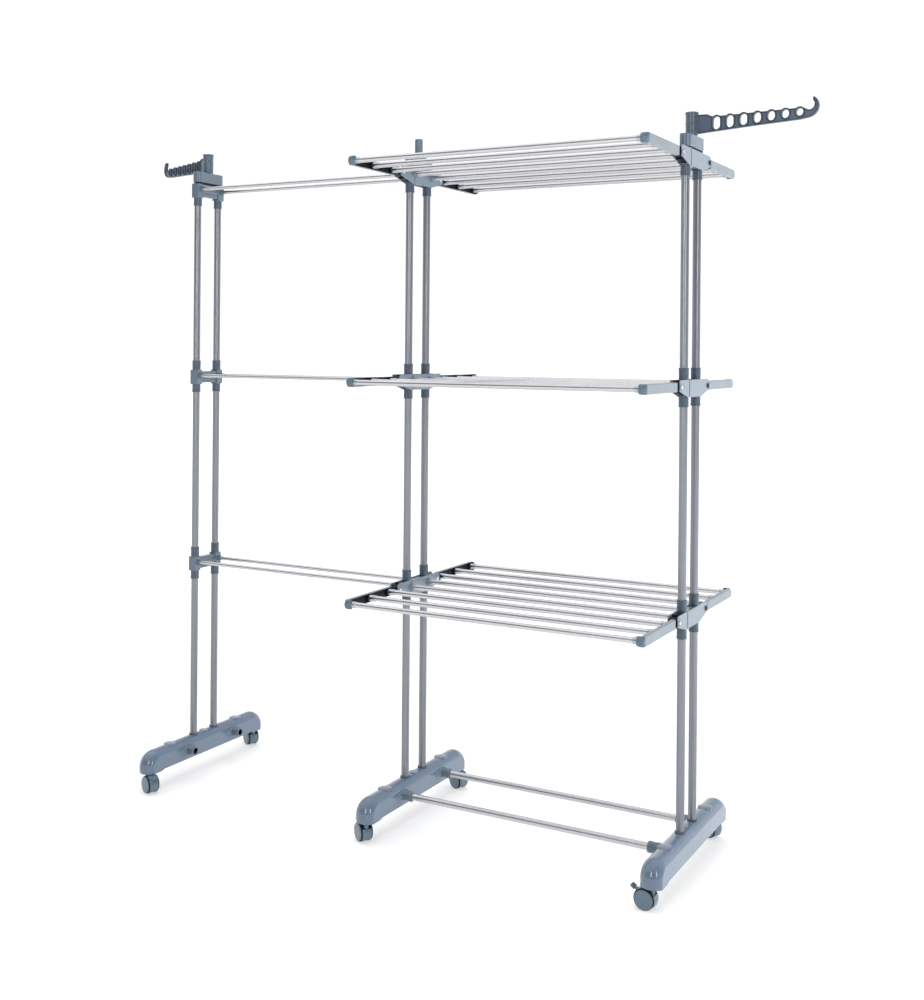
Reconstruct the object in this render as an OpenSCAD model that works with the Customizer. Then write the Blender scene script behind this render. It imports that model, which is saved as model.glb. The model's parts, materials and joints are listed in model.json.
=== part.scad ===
// Clothes drying rack: three upright frames on castors, joined by three tiers of tubes.
// The right bay carries folding shelf wings, and the left bay plain hanging rods.
// Millimetres. +X runs along the rack, +Y to its back, +Z up. The floor is z = 0.
// The origin is the centre of the footprint, under the middle of the overall length.

/* [Layout] */
// Distance from the left frame to the middle frame
bay_left = 693; // [500:1:900]
// Distance from the middle frame to the right frame
bay_right = 724; // [500:1:900]
// Height of the lowest tier's bracket centre
tier_first_z = 582; // [450:1:700]
// Height from one tier to the next
tier_pitch = 521; // [400:1:600]
// Half the distance between the two posts of a frame
post_y = 42.5; // [38:0.5:60]

/* [Tubes] */
// Post tube diameter
post_d = 19; // [16:0.5:22]
// Wall of the post tubes
post_wall = 0.8; // [0.6:0.1:1.5]
// Shelf tube diameter
shelf_d = 13; // [10:0.5:14]
// Hanging rod diameter in the left bay
rod_d = 10; // [8:0.5:13]
// Bottom rail diameter
rail_d = 16; // [13:0.5:19]
// Wall of the shelf tubes, rods and rails
tube_wall = 0.7; // [0.5:0.1:1]
// Height of the shelf tubes above the bracket centre
tube_rise = 4; // [2:1:6]

/* [Wings] */
// Distance of each wing's hinge pin from the rack's centre plane
hinge_y = 92; // [85:1:100]
// Distance of the wing's first tube from the centre plane
wing_tube_y = 126; // [124:1:130]
// Distance from one wing tube to the next
wing_tube_pitch = 87; // [70:1:90]
// Distance of the wing's nose from the centre plane
wing_tip_y = 313.5; // [313:0.5:330]
// Hinge pin diameter
hinge_pin_d = 6; // [5:0.5:7]

/* [Feet] */
// Half the length of a foot
foot_half = 242; // [238:1:280]
// Width of a foot
foot_w = 50; // [46:1:56]
// Height of the top of a foot
foot_top = 104.5; // [100:0.5:115]
// Distance of the bottom rails from the centre plane
rail_y = 96; // [85:1:110]
// Height of the bottom rails
rail_z = 80; // [75:1:85]

/* [Castors] */
// Castor wheel diameter
wheel_d = 46; // [40:1:47]
// Distance of the castors from the centre plane
castor_y = 222; // [212:1:226]
// Offset of the wheel axle from the swivel axis
castor_trail = 14; // [12:1:16]

/* [Hangers] */
// Turn of the left hanger arm from the rack's long direction
hanger_turn_left = 24; // [0:1:60]
// Turn of the right hanger arm from the rack's long direction
hanger_turn_right = 4.5; // [0:0.5:60]
// Reach of the hanger arm from its stub's axis to the outside of the hook
hanger_reach = 292; // [280:1:310]
// Number of holes for clothes hangers in each arm
hanger_holes = 7; // [4:1:7]

/* [Hidden] */
$fn = 48;
eps = 0.01;
fit_gap = 0.05;

// Layout
hanger_t = 10;
reach_left = hanger_reach * cos(hanger_turn_left) + hanger_t / 2 * sin(hanger_turn_left);
reach_right = hanger_reach * cos(hanger_turn_right) + hanger_t / 2 * sin(hanger_turn_right);
frame_b_x = ((bay_left + reach_left) - (bay_right + reach_right)) / 2;
frame_a_x = frame_b_x - bay_left;
frame_c_x = frame_b_x + bay_right;
tiers = [for (t = [0:2]) tier_first_z + t * tier_pitch];
sides = [-1, 1];

// Brackets
box_half_x = 12.5;
box_half_z = 20;
box_end_y = 56;
sleeve_r = 11.4;
sleeve_drop = 42;
sleeve_rise = 46;
cheek_in_x = 9.5;
ear_tip_y = 104;
ear_tip_rise = -6;
box_proud = 1;
tube_start = box_half_x + box_proud + 0.2;
boss_len = 8;

// Wing arms
arm_half_x = 10;
arm_half_z = 11;
arm_depth = 9;
arm_wall = 1.5;
arm_start = 22;
nose_len = 10.5;
ferrule_r = 7.5;
ferrule_len = 20;
plug_reach = 15;
knuckle_half_x = 9.2;
knuckle_r = 11;
pin_head_r = 5;

// Posts
post_base_z = 64;
post_top_z = tiers[2] + 20;
segment_gap = 1;

// Top caps, stub and hangers
cap_z0 = post_top_z + 1;
cap_z1 = cap_z0 + 32;
stub_r = 10.25;
stub_top = cap_z1 + 46;
hub_r = 14.3;
hub_z0 = cap_z1 + 2;
hub_z1 = hub_z0 + 52;
hole_pitch = 31.7;
hole_first = 60;

// Feet
foot_wall = 2.5;
foot_low_z = 49;
foot_arch_z = 52.5;
foot_arch_y = 196;
foot_end_y = castor_y - 24;
nose_reach = 50;
nose_mid_z = 60;
roof_r = 28.8;
roof_steps = 6;
disc_y = 138;
disc_r = 15.5;
plug_r = 12;
plug_z = 99;
ring_r = 12;
ring_z = 101;
collar_len = 30;
collar_r = 12.2;

// Castors
axle_z = wheel_d / 2;
axle_r = 3;
stem_r = 3.5;
web_half = 5.5;
wheel_in = 5.9;
wheel_out = 16.4;
fender_in = axle_z + 0.8;
fender_out = axle_z + 2;
fender_half = 11.5;
brake_x = castor_trail + 11;
brake_z = axle_z + 13;
brake_pin_r = 1.2;
// Direction in which each castor trails: left, middle and right frame, front then back
trail_angles = [[-22, 152], [146, -25], [177, 155]];

blue = [0.42, 0.50, 0.58];
light = [0.70, 0.74, 0.78];
steel = [0.62, 0.63, 0.66];
bright = [0.80, 0.81, 0.83];
black = [0.08, 0.08, 0.09];

// ---------- shared shapes ----------

// Points of an arc about [cx, cy], from angle a0 to a1, with radii rx and ry
function arc(cx, cy, rx, ry, a0, a1, n = 8) =
  [for (i = [0:n]) let (a = a0 + (a1 - a0) * i / n) [cx + rx * cos(a), cy + ry * sin(a)]];

// A cylinder along +X that starts at the given point
module bar_x(x, y, z, length, r) {
  translate([x, y, z]) rotate([0, 90, 0]) cylinder(h = length, r = r);
}

// A hollow tube along +X
module tube_x(x, y, z, length, d, wall) {
  difference() {
    bar_x(x, y, z, length, d / 2);
    bar_x(x - 1, y, z, length + 2, d / 2 - wall);
  }
}

// An upright hollow tube
module tube_z(y, z0, z1, d, wall) {
  translate([0, y, z0]) difference() {
    cylinder(h = z1 - z0, d = d);
    translate([0, 0, -1]) cylinder(h = z1 - z0 + 2, d = d - 2 * wall);
  }
}

// An outline in the Y-Z plane, extruded along X and centred on x = 0
module slab_x(width, points) {
  rotate([90, 0, 90]) linear_extrude(width, center = true) polygon(points);
}

// ---------- feet ----------

// Side outline of one half of a foot, pulled in from its skin; the bottom stays level
function foot_half_outline(inset) = concat(
  arc(foot_half - nose_reach, nose_mid_z, nose_reach - inset, foot_top - nose_mid_z - inset, 90, 0, 12),
  [[foot_half - inset, foot_low_z]]
);

function mirrored(points) =
  [for (i = [len(points) - 1:-1:0]) [-points[i][0], points[i][1]]];

// A bar with flat sides whose roof and noses are rounded by one arc of radius roof_r
module foot_volume() {
  turn = asin(foot_w / 2 / roof_r) / roof_steps;
  hull() for (i = [0:roof_steps]) {
    half = foot_half_outline(roof_r * (1 - cos(i * turn)));
    slab_x(2 * roof_r * sin(max(i, 0.5) * turn), concat(half, mirrored(half)));
  }
}

// The hollow under a foot: full width at the bottom and narrower under the curved roof
module foot_pocket() {
  for (step = [[foot_w / 2 - foot_wall, 90], [16, 97]])
    translate([-step[0], -foot_end_y, foot_low_z - 1])
      cube([2 * step[0], 2 * foot_end_y, step[1] - foot_low_z + 1]);
}

// Towers around the posts, ribs across them, and pads under the plugs
module foot_inside() {
  for (s = sides) {
    translate([0, s * post_y, foot_arch_z]) cylinder(h = ring_z - foot_arch_z, r = ring_r + 1);
    translate([-foot_w / 2 + 1, s * post_y - 1.5, foot_arch_z]) cube([foot_w - 2, 3, 36]);
    translate([0, s * disc_y, plug_z - 4]) cylinder(h = 4, r = disc_r + 1);
  }
  translate([0, 0, plug_z - 4]) cylinder(h = 4, r = plug_r + 1);
}

// A hollow foot, open below, with solid ends for the castors and two post sockets
module foot(x) {
  translate([x, 0, 0]) difference() {
    union() {
      difference() {
        foot_volume();
        foot_pocket();
      }
      foot_inside();
    }
    slab_x(2 * foot_w, [[-foot_arch_y, foot_low_z - 1], [-foot_arch_y, foot_low_z],
                        [-foot_arch_y + 10, foot_arch_z], [foot_arch_y - 10, foot_arch_z],
                        [foot_arch_y, foot_low_z], [foot_arch_y, foot_low_z - 1]]);
    for (s = sides) {
      translate([0, s * post_y, post_base_z - 1]) cylinder(h = 60, d = post_d + 2 * fit_gap);
      translate([0, s * post_y, ring_z]) cylinder(h = 20, r = ring_r);
      translate([0, s * disc_y, plug_z]) cylinder(h = 20, r = disc_r);
      translate([0, s * castor_y, foot_low_z - 1]) cylinder(h = 32, r = stem_r + fit_gap);
    }
    translate([0, 0, plug_z]) cylinder(h = 20, r = plug_r);
  }
}

module foot_left() { color(blue) foot(frame_a_x); }
module foot_middle() { color(blue) foot(frame_b_x); }
module foot_right() { color(blue) foot(frame_c_x); }

// Round plugs on the feet: two large discs and a small one between the posts
module foot_plugs() {
  color(blue) for (x = [frame_a_x, frame_b_x, frame_c_x]) translate([x, 0, plug_z]) {
    for (s = sides) translate([0, s * disc_y, 0]) {
      cylinder(h = foot_top - plug_z + 2.2, r = disc_r);
      cylinder(h = foot_top - plug_z + 3.2, r = disc_r - 1.2);
    }
    cylinder(h = foot_top - plug_z + 0.7, r = plug_r);
  }
}

// Socket collars for the bottom rails, each with a fairing along the foot's side; the left
// foot's two are open and free
module rail_sockets() {
  color(blue) for (s = sides) {
    rail_socket(frame_a_x + foot_w / 2, s * rail_y, 1);
    rail_socket(frame_b_x + foot_w / 2, s * rail_y, 1);
    rail_socket(frame_c_x - foot_w / 2, s * rail_y, -1);
  }
}

module rail_socket(x, y, side) {
  translate([x, y, rail_z]) rotate([0, side * 90, 0]) difference() {
    union() {
      cylinder(h = collar_len, r = collar_r);
      hull() {
        cylinder(h = 9, r = collar_r);
        for (s = sides) translate([-side * 6, s * 30, 0]) cylinder(h = 2, r = 3);
      }
    }
    translate([0, 0, 2]) cylinder(h = collar_len, r = rail_d / 2 + fit_gap);
  }
}

// Rings around the posts where they enter the feet
module post_rings() {
  color(blue) for (x = [frame_a_x, frame_b_x, frame_c_x], s = sides)
    translate([x, s * post_y, ring_z]) difference() {
      cylinder(h = foot_top - ring_z + 2.5, r = ring_r);
      translate([0, 0, -1]) cylinder(h = 12, d = post_d + 2 * fit_gap);
    }
}

// ---------- uprights ----------

// Six post tubes of one frame: three lengths on each side
module posts(x) {
  joints = [post_base_z, tiers[0], tiers[1], tiers[2] + 12];
  translate([x, 0, 0]) for (s = sides, i = [0:2])
    tube_z(s * post_y, joints[i] + segment_gap, joints[i + 1] - segment_gap, post_d, post_wall);
}

module posts_left() { color(steel) posts(frame_a_x); }
module posts_middle() { color(steel) posts(frame_b_x); }
module posts_right() { color(steel) posts(frame_c_x); }

// Bores for the two posts; the top tier's bracket closes above them
module post_bores(top) {
  for (s = sides) translate([0, s * post_y, -sleeve_drop - 1])
    cylinder(h = sleeve_drop + 1 + (top ? 13 : sleeve_rise + 1), d = post_d + 2 * fit_gap);
}

module post_sleeves(top) {
  for (s = sides) translate([0, s * post_y, -sleeve_drop])
    cylinder(h = sleeve_drop + (top ? box_half_z : sleeve_rise), r = sleeve_r);
}

// A short ring boss that holds the end of a fixed tube on a bracket's side
module tube_boss(side, d) {
  for (s = sides) translate([side * box_half_x, s * post_y, tube_rise])
    rotate([0, side * 90, 0]) difference() {
      cylinder(h = boss_len, d = d + 4);
      translate([0, 0, -eps]) cylinder(h = boss_len + 1, d = d + 2 * fit_gap);
    }
}

// Cheek outline of a hinged bracket, from the box to the tip of the ear
function ear_outline(s) = [
  [s * 46, box_half_z], [s * (ear_tip_y - 5), box_half_z],
  [s * ear_tip_y, box_half_z - 5], [s * ear_tip_y, ear_tip_rise + 3],
  [s * (ear_tip_y - 3), ear_tip_rise], [s * 46, -box_half_z]
];

// Bracket with hinge ears front and back, for the frames that carry wings
module hinged_bracket(top) {
  difference() {
    union() {
      translate([-box_half_x, -box_end_y, -box_half_z])
        cube([2 * box_half_x, 2 * box_end_y, 2 * box_half_z]);
      translate([-box_half_x - box_proud, -39, -box_half_z + 1])
        cube([2 * (box_half_x + box_proud), 78, 2 * box_half_z - 2]);
      post_sleeves(top);
      for (s = sides, m = sides) translate([m * (box_half_x + cheek_in_x) / 2, 0, 0])
        slab_x(box_half_x - cheek_in_x, ear_outline(s));
    }
    post_bores(top);
    for (m = sides) translate([-cheek_in_x, -30, m * box_half_z - 3])
      cube([2 * cheek_in_x, 60, 6]);
    for (s = sides) bar_x(-20, s * hinge_y, tube_rise, 40, hinge_pin_d / 2 + fit_gap);
  }
}

// Narrower bracket of the left frame, with a ridge along each side of its web
module plain_bracket(top) {
  difference() {
    union() {
      translate([-8, -44, -16]) cube([16, 88, 32]);
      for (s = sides) {
        translate([-box_half_x, s * 43.5 - 11.5, -box_half_z])
          cube([2 * box_half_x, 23, 2 * box_half_z]);
        translate([s * 7, 0, 0]) rotate([90, 0, 0]) cylinder(h = 66, r = 4.5, center = true);
      }
      post_sleeves(top);
    }
    post_bores(top);
  }
}

module brackets_left() {
  color(blue) for (i = [0:2]) translate([frame_a_x, 0, tiers[i]]) {
    plain_bracket(i == 2);
    tube_boss(1, rod_d);
  }
}

module brackets_middle() {
  color(blue) for (i = [0:2]) translate([frame_b_x, 0, tiers[i]]) {
    hinged_bracket(i == 2);
    tube_boss(-1, rod_d);
    tube_boss(1, shelf_d);
  }
}

module brackets_right() {
  color(blue) for (i = [0:2]) translate([frame_c_x, 0, tiers[i]]) {
    hinged_bracket(i == 2);
    tube_boss(-1, shelf_d);
  }
}

// Black blocks between the ears, hollowed around the knuckle that turns beside them
module hinge_blocks() {
  color(black) for (x = [frame_b_x, frame_c_x], z = tiers, s = sides)
    translate([x, 0, z]) difference() {
      slab_x(2 * cheek_in_x, [
        [s * box_end_y, box_half_z - 1.5], [s * (hinge_y - 12), box_half_z - 1.5],
        [s * (hinge_y - 12), -10.5], [s * box_end_y, -16]
      ]);
      bar_x(-20, s * hinge_y, tube_rise, 40, knuckle_r + 1);
    }
}

// Hinge pins with a round head outside each ear
module hinge_pins() {
  color(bright) for (x = [frame_b_x, frame_c_x], z = tiers, s = sides) {
    bar_x(x - box_half_x - 2, s * hinge_y, z + tube_rise, 2 * box_half_x + 4, hinge_pin_d / 2);
    for (m = [x - box_half_x - 2, x + box_half_x])
      bar_x(m, s * hinge_y, z + tube_rise, 2, pin_head_r);
  }
}

// ---------- top caps and hanger arms ----------

// A cap bridges each frame's posts and carries a round stub for a hanger arm
module top_caps() {
  color(blue) for (x = [frame_a_x, frame_b_x, frame_c_x]) translate([x, 0, 0]) {
    slab_x(28, concat(arc(49, cap_z1 - 6, 6, 6, 0, 90), arc(-49, cap_z1 - 6, 6, 6, 90, 180),
                      [[-55, cap_z0], [55, cap_z0]]));
    translate([-12, -48, post_top_z]) cube([24, 96, 2]);
    translate([0, 0, cap_z1 - 1]) cylinder(h = stub_top - cap_z1 + 1, r = stub_r);
  }
}

// Side outline of a hanger arm: level top, rising lower edge, and an upturned hook
arm_low_z = hub_z0 + 2;
arm_top_z = hub_z0 + 41;
crown_h = 3.8;
hanger_outline = concat(
  [[hub_r - 2, arm_low_z], [hole_first + 6 * hole_pitch, arm_low_z + 10.5]],
  arc(hanger_reach - 27, arm_top_z - 1, 27, 25, -78, 55, 12),
  arc(hanger_reach - 20.5, arm_top_z + 2.5, 11.5, 11.5, 50, -100, 12),
  [[hole_first + 6 * hole_pitch, arm_top_z - crown_h - 1], [hole_first - 14, arm_top_z - crown_h],
   [hole_first - 22, arm_top_z + 3], [hub_r - 2, arm_top_z + 4]]
);

// Half the width and half the straight height of hole i; the holes shrink outward
function hole_r(i) = 9 - 0.12 * i;
function hole_straight(i) = 5.6 * (1 - i / 6);
function hole_mid(i) = arm_top_z - crown_h - hole_r(i) - hole_straight(i);

module hanger_hole(i) {
  translate([hole_first + i * hole_pitch, 0, hole_mid(i)]) rotate([90, 0, 0]) {
    for (s = sides) translate([0, s * hole_straight(i), 0])
      cylinder(h = 2 * hanger_t, r = hole_r(i), center = true);
    if (hole_straight(i) > 0)
      cube([2 * hole_r(i), 2 * hole_straight(i), 2 * hanger_t], center = true);
  }
}

// Raised lip over a hole, which makes the scalloped upper edge
module hole_crown(i) {
  translate([hole_first + i * hole_pitch, 0, hole_mid(i) + hole_straight(i)])
    rotate([90, 0, 0]) cylinder(h = hanger_t, r = hole_r(i) + crown_h, center = true);
}

// A hanger arm turns on its stub; its hub is a blind sleeve with a ring and a flange
module hanger(x, turn) {
  translate([x, 0, 0]) rotate([0, 0, turn]) difference() {
    union() {
      rotate([90, 0, 0]) linear_extrude(hanger_t, center = true) polygon(hanger_outline);
      for (i = [0:hanger_holes - 1]) hole_crown(i);
      translate([0, 0, hub_z0]) cylinder(h = hub_z1 - hub_z0, r = hub_r);
      translate([0, 0, hub_z0 + 24.5]) cylinder(h = 3, r = hub_r + 0.8);
      translate([0, 0, hub_z1 - 4]) cylinder(h = 4, r = hub_r + 1.2);
    }
    for (i = [0:hanger_holes - 1]) hanger_hole(i);
    translate([0, 0, hub_z0 - 1]) cylinder(h = stub_top - hub_z0 + 1.3, r = stub_r + fit_gap);
  }
}

module hanger_left() { color(blue) hanger(frame_a_x, 180 - hanger_turn_left); }
module hanger_right() { color(blue) hanger(frame_c_x, -hanger_turn_right); }

// ---------- fixed tubes ----------

module bottom_rails() {
  x0 = frame_b_x + foot_w / 2 + 2.5;
  x1 = frame_c_x - foot_w / 2 - 2.5;
  color(bright) for (s = sides) tube_x(x0, s * rail_y, rail_z, x1 - x0, rail_d, tube_wall);
}

module centre_rails() {
  x0 = frame_b_x + tube_start;
  x1 = frame_c_x - tube_start;
  color(bright) for (z = tiers, s = sides)
    tube_x(x0, s * post_y, z + tube_rise, x1 - x0, shelf_d, tube_wall);
}

module extension_rods() {
  x0 = frame_a_x + tube_start;
  x1 = frame_b_x - tube_start;
  color(bright) for (z = tiers, s = sides)
    tube_x(x0, s * post_y, z + tube_rise, x1 - x0, rod_d, tube_wall);
}

// ---------- wings ----------

function wing_tube(i) = wing_tube_y + i * wing_tube_pitch;

// Moves a wing drawn for the front or back, with the tier's tube height as z = 0
module wing_place(tier, side) {
  translate([0, 0, tiers[tier] + tube_rise]) scale([1, side, 1]) children();
}

module wing_tubes(tier, side) {
  x0 = frame_b_x + arm_half_x + 1;
  x1 = frame_c_x - arm_half_x - 1;
  color(bright) wing_place(tier, side) for (i = [0:2])
    tube_x(x0, wing_tube(i), 0, x1 - x0, shelf_d, tube_wall);
}

// The two arms' outer channels, open towards the tubes
module wing_arms(tier, side) {
  y0 = hinge_y + arm_start;
  length = wing_tip_y - nose_len - y0;
  color(light) wing_place(tier, side) for (end = [[frame_b_x, 1], [frame_c_x, -1]])
    translate([end[0], y0, 0]) scale([end[1], 1, 1]) difference() {
      translate([-arm_half_x, 0, -arm_half_z]) cube([arm_depth, length, 2 * arm_half_z]);
      translate([-arm_half_x + arm_wall, -1, -arm_half_z + arm_wall])
        cube([2 * arm_half_x, length + 2, 2 * (arm_half_z - arm_wall)]);
    }
}

// Black bars inside the channels; each ends in the knuckle that turns on the hinge pin
module wing_liners(tier, side) {
  y0 = hinge_y + arm_start;
  length = wing_tip_y - nose_len - y0;
  h = arm_half_z - arm_wall;
  color(black) wing_place(tier, side) for (end = [[frame_b_x, 1], [frame_c_x, -1]])
    translate([end[0], 0, 0]) scale([end[1], 1, 1]) difference() {
      union() {
        translate([-arm_half_x + arm_wall, y0, -h]) cube([arm_depth - arm_wall, length, 2 * h]);
        translate([-knuckle_half_x + 0.7, hinge_y, -h]) cube([2 * knuckle_half_x - 0.7, arm_start, 2 * h]);
        bar_x(-knuckle_half_x, hinge_y, 0, 2 * knuckle_half_x, knuckle_r);
      }
      bar_x(-20, hinge_y, 0, 40, hinge_pin_d / 2 + fit_gap);
    }
}

// Rounded noses on the arms' ends, and the cupped ferrules that hold the tubes
module wing_caps(tier, side) {
  y0 = wing_tip_y - nose_len;
  r = nose_len;
  color(blue) wing_place(tier, side) for (end = [[frame_b_x, 1], [frame_c_x, -1]])
    translate([end[0], 0, 0]) scale([end[1], 1, 1]) {
      slab_x(2 * arm_half_x, concat(arc(y0, 0, r, arm_half_z, -90, 90, 12)));
      for (i = [0:2]) translate([arm_depth - arm_half_x, wing_tube(i), 0]) rotate([0, 90, 0]) ferrule();
    }
}

module ferrule() {
  seat = 2 * arm_half_x - arm_depth + 1;
  difference() {
    cylinder(h = ferrule_len, r = ferrule_r);
    translate([0, 0, seat]) cylinder(h = ferrule_len, r = shelf_d / 2 + fit_gap);
  }
  cylinder(h = seat + plug_reach, r = shelf_d / 2 - tube_wall - fit_gap);
}

module wing_low_front_tubes() { wing_tubes(0, -1); }
module wing_low_front_arms() { wing_arms(0, -1); }
module wing_low_front_liners() { wing_liners(0, -1); }
module wing_low_front_caps() { wing_caps(0, -1); }
module wing_low_back_tubes() { wing_tubes(0, 1); }
module wing_low_back_arms() { wing_arms(0, 1); }
module wing_low_back_liners() { wing_liners(0, 1); }
module wing_low_back_caps() { wing_caps(0, 1); }
module wing_mid_front_tubes() { wing_tubes(1, -1); }
module wing_mid_front_arms() { wing_arms(1, -1); }
module wing_mid_front_liners() { wing_liners(1, -1); }
module wing_mid_front_caps() { wing_caps(1, -1); }
module wing_mid_back_tubes() { wing_tubes(1, 1); }
module wing_mid_back_arms() { wing_arms(1, 1); }
module wing_mid_back_liners() { wing_liners(1, 1); }
module wing_mid_back_caps() { wing_caps(1, 1); }
module wing_top_front_tubes() { wing_tubes(2, -1); }
module wing_top_front_arms() { wing_arms(2, -1); }
module wing_top_front_liners() { wing_liners(2, -1); }
module wing_top_front_caps() { wing_caps(2, -1); }
module wing_top_back_tubes() { wing_tubes(2, 1); }
module wing_top_back_arms() { wing_arms(2, 1); }
module wing_top_back_liners() { wing_liners(2, 1); }
module wing_top_back_caps() { wing_caps(2, 1); }

// ---------- castors ----------

// Moves a castor drawn at the origin, trailing along +X, to frame f and side s (0 front, 1 back)
module castor_place(f, s) {
  translate([[frame_a_x, frame_b_x, frame_c_x][f], sides[s] * castor_y, 0])
    rotate([0, 0, trail_angles[f][s]]) children();
}

// Steel stems fixed in the feet, each with a washer above the hood
module castor_stems() {
  color(bright) for (f = [0:2], s = [0, 1]) castor_place(f, s) {
    translate([0, 0, 30]) cylinder(h = 49, r = stem_r);
    translate([0, 0, foot_low_z - 0.6]) cylinder(h = 0.6, r = 6);
  }
}

// A disc along Y about the axle, cut by the hood's own outline
module axle_disc(r, half) {
  translate([castor_trail, 0, axle_z]) rotate([90, 0, 0])
    cylinder(h = 2 * half, r = r, center = true);
}

// Hood: a web between the wheels and a fender over them, with a slot for the brake lever
module castor_hood(f, s) {
  color(blue) castor_place(f, s) difference() {
    union() {
      difference() {
        axle_disc(fender_out, fender_half);
        axle_disc(fender_in, wheel_out);
        translate([-20, -20, -5]) cube([60, 40, 14]);
      }
      difference() {
        axle_disc(fender_in + eps, web_half);
        translate([castor_trail + 2, -20, -5]) cube([40, 40, axle_z + 1]);
        translate([-20, -20, -5]) cube([60, 40, 14]);
      }
      translate([0, 0, 38]) cylinder(h = 9.9, r = 7);
    }
    translate([0, 0, 29]) cylinder(h = 30, r = stem_r + fit_gap);
    axle_disc(axle_r + fit_gap, 20);
    translate([castor_trail + 6, -3.4, axle_z + 5]) cube([30, 6.8, 30]);
    wheel_room();
  }
  color(blue) if (s == 0) castor_place(f, s) brake_pin(brake_pin_r);
}

// Cross pin that the brake lever turns on
module brake_pin(r) {
  translate([brake_x, 0, brake_z]) rotate([90, 0, 0]) cylinder(h = 9, r = r, center = true);
}

// The room that both wheels need beside the hood's web
module wheel_room() {
  for (m = sides) translate([castor_trail, m * (web_half + wheel_out) / 2, axle_z])
    rotate([90, 0, 0])
      cylinder(h = wheel_out - web_half + 2 * fit_gap, r = fender_in, center = true);
}

// Two wheels on one axle
module castor_wheels(f, s) {
  color(black) castor_place(f, s) translate([castor_trail, 0, axle_z]) rotate([90, 0, 0]) {
    cylinder(h = 2 * wheel_in + 2 * eps, r = axle_r, center = true);
    for (m = sides) scale([1, 1, m]) translate([0, 0, wheel_in]) {
      cylinder(h = wheel_out - wheel_in, r = wheel_d / 2);
      translate([0, 0, wheel_out - wheel_in]) cylinder(h = 0.8, r = wheel_d / 2 - 1.5);
    }
  }
}

// Brake lever on the cross pin in the hood's slot, drawn released
module castor_brake(f) {
  color(light) castor_place(f, 0) difference() {
    translate([brake_x, 0, brake_z]) rotate([90, 0, 0]) linear_extrude(6, center = true)
      polygon([[-3, -2.5], [4, -3.5], [14, 1], [23, 8], [22, 11], [13, 6], [-2, 3]]);
    brake_pin(brake_pin_r + fit_gap);
  }
}

module castor_left_front_hood() { castor_hood(0, 0); }
module castor_left_front_wheels() { castor_wheels(0, 0); }
module castor_left_front_brake() { castor_brake(0); }
module castor_left_back_hood() { castor_hood(0, 1); }
module castor_left_back_wheels() { castor_wheels(0, 1); }
module castor_middle_front_hood() { castor_hood(1, 0); }
module castor_middle_front_wheels() { castor_wheels(1, 0); }
module castor_middle_front_brake() { castor_brake(1); }
module castor_middle_back_hood() { castor_hood(1, 1); }
module castor_middle_back_wheels() { castor_wheels(1, 1); }
module castor_right_front_hood() { castor_hood(2, 0); }
module castor_right_front_wheels() { castor_wheels(2, 0); }
module castor_right_front_brake() { castor_brake(2); }
module castor_right_back_hood() { castor_hood(2, 1); }
module castor_right_back_wheels() { castor_wheels(2, 1); }

foot_left();
foot_middle();
foot_right();
foot_plugs();
rail_sockets();
post_rings();
posts_left();
posts_middle();
posts_right();
brackets_left();
brackets_middle();
brackets_right();
top_caps();
hanger_left();
hanger_right();
bottom_rails();
centre_rails();
extension_rods();
hinge_pins();
hinge_blocks();
wing_low_front_tubes();
wing_low_front_arms();
wing_low_front_liners();
wing_low_front_caps();
wing_low_back_tubes();
wing_low_back_arms();
wing_low_back_liners();
wing_low_back_caps();
wing_mid_front_tubes();
wing_mid_front_arms();
wing_mid_front_liners();
wing_mid_front_caps();
wing_mid_back_tubes();
wing_mid_back_arms();
wing_mid_back_liners();
wing_mid_back_caps();
wing_top_front_tubes();
wing_top_front_arms();
wing_top_front_liners();
wing_top_front_caps();
wing_top_back_tubes();
wing_top_back_arms();
wing_top_back_liners();
wing_top_back_caps();
castor_stems();
castor_left_front_hood();
castor_left_front_wheels();
castor_left_front_brake();
castor_left_back_hood();
castor_left_back_wheels();
castor_middle_front_hood();
castor_middle_front_wheels();
castor_middle_front_brake();
castor_middle_back_hood();
castor_middle_back_wheels();
castor_right_front_hood();
castor_right_front_wheels();
castor_right_front_brake();
castor_right_back_hood();
castor_right_back_wheels();
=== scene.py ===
"""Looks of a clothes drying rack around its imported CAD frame. Mesh code works in millimetres."""

import json
import math

import bmesh
import bpy
from mathutils import Matrix, Vector


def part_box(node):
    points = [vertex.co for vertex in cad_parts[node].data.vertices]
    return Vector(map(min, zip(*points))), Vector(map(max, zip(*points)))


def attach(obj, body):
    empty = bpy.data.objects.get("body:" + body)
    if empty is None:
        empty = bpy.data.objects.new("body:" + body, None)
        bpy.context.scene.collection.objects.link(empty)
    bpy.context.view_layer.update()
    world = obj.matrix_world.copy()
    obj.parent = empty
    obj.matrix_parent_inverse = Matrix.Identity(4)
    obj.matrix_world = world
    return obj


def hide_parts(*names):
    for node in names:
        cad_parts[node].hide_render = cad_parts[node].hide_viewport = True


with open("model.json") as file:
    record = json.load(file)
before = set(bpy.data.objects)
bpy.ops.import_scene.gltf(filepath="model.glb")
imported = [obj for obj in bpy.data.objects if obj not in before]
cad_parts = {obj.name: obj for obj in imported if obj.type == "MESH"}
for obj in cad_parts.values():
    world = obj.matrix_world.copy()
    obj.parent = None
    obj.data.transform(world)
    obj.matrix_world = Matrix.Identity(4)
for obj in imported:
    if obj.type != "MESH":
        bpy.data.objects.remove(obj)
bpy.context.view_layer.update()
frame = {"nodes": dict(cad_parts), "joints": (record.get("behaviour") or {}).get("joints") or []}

MM = 0.001
FRAMES = ("left", "middle", "right")
TIERS = ("low", "mid", "top")
SIDES = {"front": -1, "back": 1}
BOTH = (-1, 1)
joints = {j["name"]: j for j in frame["joints"]}


def box_mm(node):
    """Lowest and highest corner of a CAD node, in millimetres."""
    return [[c / MM for c in corner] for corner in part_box(node)]


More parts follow.
